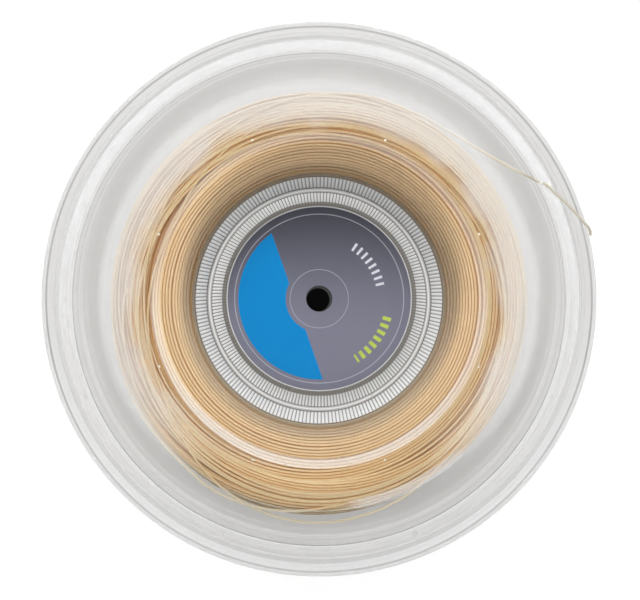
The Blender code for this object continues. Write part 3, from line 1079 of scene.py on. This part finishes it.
def flank_route(turns, height, start_angle, points, limit):
    """A flat spiral through the turns, clockwise from above, within the limit."""
    route = []
    for index in range((len(turns) - 1) * points + 1):
        whole, part = divmod(index, points)
        after = turns[min(whole + 1, len(turns) - 1)]
        radius, right, up, oval, lean, drop = turns[whole].lerp(after, part / points)
        angle = start_angle - 2 * math.pi * index / points
        radius += right * math.cos(angle) + up * math.sin(angle)
        radius += oval * math.cos(2 * angle) + lean * math.sin(2 * angle)
        route.append(polar(min(radius, limit), angle, height - drop))
    return route


def drum_route(radius, top, bottom, turns, start_angle, points, sag=0.0):
    """A screw line down the drum, clockwise from above. Its first turns sag at the reel's foot."""
    route = []
    for index in range(turns * points + 1):
        angle = start_angle - 2 * math.pi * index / points
        height = top + (bottom - top) * index / (turns * points)
        share = math.sin(math.pi * min(1.0, index / (SAG_TURNS * points)))
        loose = share * max(0.0, math.cos(angle + SAG_ANGLE)) ** 4
        route.append(polar(radius + sag * loose, angle, height))
    return route


def string_piece(name, routes, diameter):
    """Tubes along the routes, as one mesh at the origin."""
    curve = bpy.data.curves.new(name, "CURVE")
    curve.dimensions = "3D"
    curve.bevel_depth = diameter / 2
    curve.bevel_resolution = 2
    curve.use_fill_caps = True
    for route in routes:
        spline = curve.splines.new("POLY")
        spline.points.add(len(route) - 1)
        for target, point in zip(spline.points, route):
            target.co = (*point, 1.0)
    piece = bpy.data.objects.new(name, curve)
    bpy.context.scene.collection.objects.link(piece)
    select_only(piece)
    bpy.ops.object.convert(target="MESH")
    return rename(bpy.context.object, name)


def loose_stations(bottom):
    """The last turns: up the drum at the right, over the flank, out twice, and on to the tail."""
    top = string_heights(bpy.context.scene.reel_string)[0] + 0.1 * MM
    keys = [(angle, radius, bottom + height * MM) for angle, radius, height in CLIMB]
    keys += [(angle, radius, top + height * MM) for angle, radius, height in LOOSE_TURNS]
    keys.append((-660 + math.degrees(LEAVING_ANGLE) - 60, LOOSE_RADIUS / MM, TAIL_START))
    return [polar(radius * MM, math.radians(angle), height) for angle, radius, height in keys]


def tail_stations():
    """The free end: straight to the exit hole, up through it, over the rim and past the lip."""
    start = polar(LOOSE_RADIUS, LEAVING_ANGLE, TAIL_START)
    ahead = Vector((start.y, -start.x, 0)).normalized()
    led_on = [start + ahead * distance for distance in (0.05 * MM, 7.8 * MM)]
    return led_on + [
        polar(radius * MM, EXIT_ANGLE + math.radians(degrees), height * MM)
        for radius, degrees, height in TAIL_TURNS
    ]


def smooth_route(stations, spacing):
    """Evenly spaced points on a smooth curve through the stations."""
    gaps = [(b - a).length for a, b in zip(stations, stations[1:])]
    slopes = [(stations[1] - stations[0]) / gaps[0]]
    for index in range(1, len(stations) - 1):
        before = (stations[index] - stations[index - 1]) / gaps[index - 1]
        after = (stations[index + 1] - stations[index]) / gaps[index]
        share = gaps[index - 1] / (gaps[index - 1] + gaps[index])
        slopes.append(before * (1 - share) + after * share)
    slopes.append((stations[-1] - stations[-2]) / gaps[-1])
    route = []
    for index, gap in enumerate(gaps):
        steps = max(2, round(gap / spacing))
        for step in range(steps):
            t = step / steps
            route.append(
                (2 * t**3 - 3 * t**2 + 1) * stations[index]
                + (t**3 - 2 * t**2 + t) * gap * slopes[index]
                + (3 * t**2 - 2 * t**3) * stations[index + 1]
                + (t**3 - t**2) * gap * slopes[index + 1]
            )
    return [*route, stations[-1]]


class REEL_OT_outer_string(bpy.types.Operator):
    """Winds the outer turns as one tube: over the front face, down the drum and the loose turns"""

    bl_idname = "reel.outer_string"
    bl_label = "Outer String"

    def execute(self, context):
        sizes = context.scene.reel_string
        chance = random.Random(sizes.seed)
        front, back = string_heights(sizes)
        points = sizes.turn_points
        pitch = sizes.diameter * 1.04
        inner = CORE_HIGH.x + sizes.diameter * FIRST_TURN
        limit = sizes.drum_radius - FREE_EDGE
        layer = lay_bundles(chance, inner, limit - FREE_EDGE, pitch, sizes.swing, 0.7 * MM)
        for index in range(sizes.crossing_turns):
            swing = chance.uniform(1.9, 3.3) * sizes.swing
            heading = math.radians(chance.uniform(-125, -60))
            lie = (swing * math.cos(heading), swing * math.sin(heading))
            ovals = [chance.uniform(-1.5, 1.5) * MM for _ in range(2)]
            layer.append(Vector(((90.0 - 1.1 * index) * MM, *lie, *ovals, -1.0 * MM)))
        start_angle = math.radians(150)
        route = flank_route(layer, front - 1.1 * MM, start_angle, points, limit)
        drum_top = front - sizes.diameter * 0.9
        last_radius = route[-1].xy.length
        loops = len(layer) - 1
        for index in range(1, points // 4):
            share = index / (points // 4)
            angle = start_angle - 2 * math.pi * (loops + share / 4)
            radius = last_radius + (sizes.drum_radius - last_radius) * share
            route.append(polar(radius, angle, route[-1].z + (drum_top - route[-1].z) * share**2))
        bottom = back + 0.2 * MM
        turns = int((drum_top - bottom) / (sizes.diameter * 1.06))
        drum = drum_route(sizes.drum_radius, drum_top, bottom, turns, DRUM_START, points, SAG)
        loose = smooth_route(loose_stations(bottom), 4.0 * MM)
        whole = [*route, *drum, *loose[1:]]
        piece = string_piece("string_outer_winding", [whole], sizes.diameter)
        finish = context.scene.reel_finish
        tones = (finish.string_light, finish.string_dark)
        material = string_material("outer_string", *tones, loops + turns)
        finish_piece(piece, material, "string_outer_turns", 60)
        return {"FINISHED"}


class REEL_OT_inner_string(bpy.types.Operator):
    """Winds the layers that show between the outer turns, over a plain body"""

    bl_idname = "reel.inner_string"
    bl_label = "Inner String"

    def execute(self, context):
        sizes = context.scene.reel_string
        chance = random.Random(sizes.seed + 1)
        front, back = string_heights(sizes)
        points = sizes.turn_points
        step = sizes.diameter * 1.03
        inner = CORE_HIGH.x + sizes.diameter * FIRST_TURN
        outer = sizes.drum_radius - sizes.diameter
        end = outer - FREE_EDGE
        layers = []
        for height, swing, drop in (
            (front - 1.9 * step, 0.5, 0.3),
            (front - 2.9 * step, 0.15, 0.3),
            (back, 0.5, -0.3),
            (back + 1.1 * step, 0.15, -0.3),
        ):
            layer = lay_bundles(chance, inner, end, step, sizes.swing * swing, drop * MM)
            layers.append(flank_route(layer, height, chance.uniform(0, 6.3), points, end))
        top = front - 3.3 * step
        bottom = back + 1.5 * step
        turns = int((top - bottom) / step)
        drum = drum_route(outer, top, bottom, turns, 0.0, points)
        finish = context.scene.reel_finish
        tones = (finish.string_light, finish.string_dark)
        # Painted shade: the inner layers, which lie between the outer turns, are darker and richer
        # in colour.
        shaded_tones = [toned(tone, 0.86, 0.70, 0.52) for tone in tones]
        material = string_material("inner_string", *shaded_tones, 30)
        above, under = (*layers[:2], drum), layers[2:]
        for name, routes in (("string_front_layers", above), ("string_back_layers", under)):
            piece = string_piece(name, routes, sizes.diameter)
            finish_piece(piece, material, "string_pack", 60)
        self.make_body(front - 3.1 * step, back + 1.3 * step, outer - 0.55 * step, sizes.diameter)
        return {"FINISHED"}

    def make_body(self, top, bottom, outer, diameter):
        """The string under the modelled turns, as one grooved ring."""
        section = ring_section(CORE_HIGH.x + 0.2 * MM, outer, bottom, top)
        piece = turn_section("string_body", section, 144)
        finish_piece(piece, body_material(diameter), "string_pack")


class REEL_OT_tail(bpy.types.Operator):
    """Leads the string's end out through the exit hole and over the rim"""

    bl_idname = "reel.tail"
    bl_label = "String End"

    def execute(self, context):
        sizes = context.scene.reel_string
        route = smooth_route(tail_stations(), 1.0 * MM)
        piece = string_piece("string_end", [route], sizes.diameter)
        finish = context.scene.reel_finish
        material = string_material("end_string", finish.string_light, finish.string_dark, 0.2)
        finish_piece(piece, material, "string_tail", 60)
        return {"FINISHED"}


class REEL_OT_stage(bpy.types.Operator):
    """Lays the floor and sets the camera, the lamp and the sky"""

    bl_idname = "reel.stage"
    bl_label = "Stage"

    def execute(self, context):
        settings = context.scene.reel_stage
        self.lay_floor()
        self.set_sky(context.scene, settings)
        self.hang_lamp(settings)
        self.place_camera(context.scene, settings)
        context.scene.view_settings.view_transform = "Standard"
        return {"FINISHED"}

    def lay_floor(self):
        """A pale floor that keeps the shadow, with a dark disc and ring painted under the spindle
        hole as its shade.
        """
        deselect()
        bpy.ops.mesh.primitive_plane_add(size=6.0, location=(0, 0, -0.0002))
        floor = rename(bpy.context.object, "floor")
        material, shader = new_material("floor")
        x, y, _ = shader.split(shader.position())
        # Painted shade: a near-black disc and a dark ring under the spindle hole.
        reach = shader.distance(x + 0.0006, y + 0.0006)
        hole_shadow = 1 - shader.step(reach, 0.0054, 0.0060)
        rim = 1 - shader.step(reach, 0.0090, 0.0100)
        hole_shade_marks = ((rim, (0.06, 0.06, 0.06)), (hole_shadow, (0.003, 0.003, 0.003)))
        pale = shader.paint((0.86, 0.86, 0.86), *hole_shade_marks)
        matte = shader.node("ShaderNodeBsdfDiffuse", None, {"Color": pale})
        path = shader.light_path("Is Camera Ray")
        through = path.out("Is Glossy Ray") + path.out("Is Transmission Ray")
        through = through.math("MINIMUM", through, 1.0) * (1 - path)
        shine = {"Color": shader.paint(WHITE, *hole_shade_marks), "Strength": path * 1.1 + through * 0.66}
        glow = shader.node("ShaderNodeEmission", None, shine)
        shader.finish(shader.blend(path * 0.65 + through * 0.45, matte, glow))
        floor.data.materials.append(material)

    def set_sky(self, scene, settings):
        """Even light for matt surfaces, white behind the reel, and soft boxes only gloss shows.

        u and v are how far a ray leans to the right and up from the one that the flat web mirrors.
        """
        world = bpy.data.worlds.new("sky")
        scene.world = world
        world.use_nodes = True
        shader = Shader(world.node_tree)
        x, y, z = shader.split(shader.node("ShaderNodeTexCoord", output="Generated"))
        above = z.math("MAXIMUM", z, 0.02)
        u = x / above + 0.0067
        v = y / above + 0.0325
        tilt = shader.distance(u, v)
        above_it = 1 - shader.step(-v / tilt, 0.66, 0.92)
        ring = shader.band(shader.distance(u - 0.001, v - 0.0045), 0.121, 0.1355, 0.010)
        ring = ring * (1 - shader.step(-u / tilt, 0.5, 0.95) * 0.4)
        lower_box = shader.band(tilt, 0.28, 0.90, 0.05) * shader.step(-v, -0.25, 0.15) * 2.4
        far = shader.step(tilt, 0.90, 1.20) + shader.step(tilt, 2.0, 4.0) * (0.3 + v / tilt * 0.1)
        near = shader.step(tilt, 0.06, 0.09) * 0.3
        boxes = ring * above_it + far * 1.1 + lower_box + near + 0.03
        path = shader.light_path("Is Camera Ray")
        glossy = path.out("Is Glossy Ray") + path.out("Is Transmission Ray")
        glossy = glossy.math("MINIMUM", glossy, 1.0)
        white, even, shine = (
            shader.node("ShaderNodeBackground", None, {"Color": WHITE, "Strength": strength})
            for strength in (1.0, settings.sky, boxes)
        )
        all_rays = shader.blend(path, shader.blend(glossy, even, shine), white)
        shader.node("ShaderNodeOutputWorld", None, {"Surface": all_rays})

    def hang_lamp(self, settings):
        """One large soft lamp above, to the upper left."""
        deselect()
        bpy.ops.object.light_add(type="AREA", location=LAMP_PLACE)
        lamp = bpy.context.object
        lamp.name = "soft_lamp"
        lamp.data.shape = "DISK"
        lamp.data.size = LAMP_SIZE
        lamp.data.energy = settings.lamp
        lamp.visible_glossy = False
        lamp.visible_transmission = False
        lamp.rotation_euler = (-lamp.location).to_track_quat("-Z", "Y").to_euler()

    def place_camera(self, scene, settings):
        """The camera looks straight down at the reel, a little from above and right of its axis."""
        deselect()
        height = FLANGE_HIGH.z + settings.camera_height
        place = Vector((settings.camera_x, settings.camera_y, height))
        bpy.ops.object.camera_add(location=place)
        camera = bpy.context.object
        camera.data.lens = settings.lens
        camera.data.sensor_width = 36.0
        aim = Vector((settings.aim_x, settings.aim_y, FLANGE_HIGH.z))
        back = (place - aim).normalized()
        right = Vector((0, 1, 0)).cross(back).normalized()
        camera.rotation_euler = Matrix((right, back.cross(right), back)).transposed().to_euler()
        scene.camera = camera


class REEL_PT_reel(bpy.types.Panel):
    """Lists the reel's pieces and their settings"""

    bl_label = "String Reel"
    bl_space_type = "VIEW_3D"
    bl_region_type = "UI"
    bl_category = "String Reel"

    def draw(self, context):
        for operator in OPERATORS:
            self.layout.operator(operator.bl_idname)
        for name, group in GROUPS.items():
            box = self.layout.box()
            box.label(text=group.__doc__)
            for prop in group.__annotations__:
                box.prop(getattr(context.scene, name), prop)


OPERATORS = (
    REEL_OT_stage,
    REEL_OT_front_flange,
    REEL_OT_back_flange,
    REEL_OT_core,
    REEL_OT_card,
    REEL_OT_inner_string,
    REEL_OT_outer_string,
    REEL_OT_tail,
)
GROUPS = {
    "reel_flange": FlangeSizes,
    "reel_hub": HubSizes,
    "reel_string": StringSizes,
    "reel_finish": Finish,
    "reel_stage": StageSettings,
}


def register():
    for item in (*GROUPS.values(), *OPERATORS, REEL_PT_reel):
        bpy.utils.register_class(item)
    for name, group in GROUPS.items():
        setattr(bpy.types.Scene, name, PointerProperty(type=group))


def unregister():
    for name in GROUPS:
        delattr(bpy.types.Scene, name)
    for item in reversed((*GROUPS.values(), *OPERATORS, REEL_PT_reel)):
        bpy.utils.unregister_class(item)


def main():
    register()
    for operator in OPERATORS:
        family, name = operator.bl_idname.split(".")
        getattr(getattr(bpy.ops, family), name)()


if __name__ == "__main__":
    main()
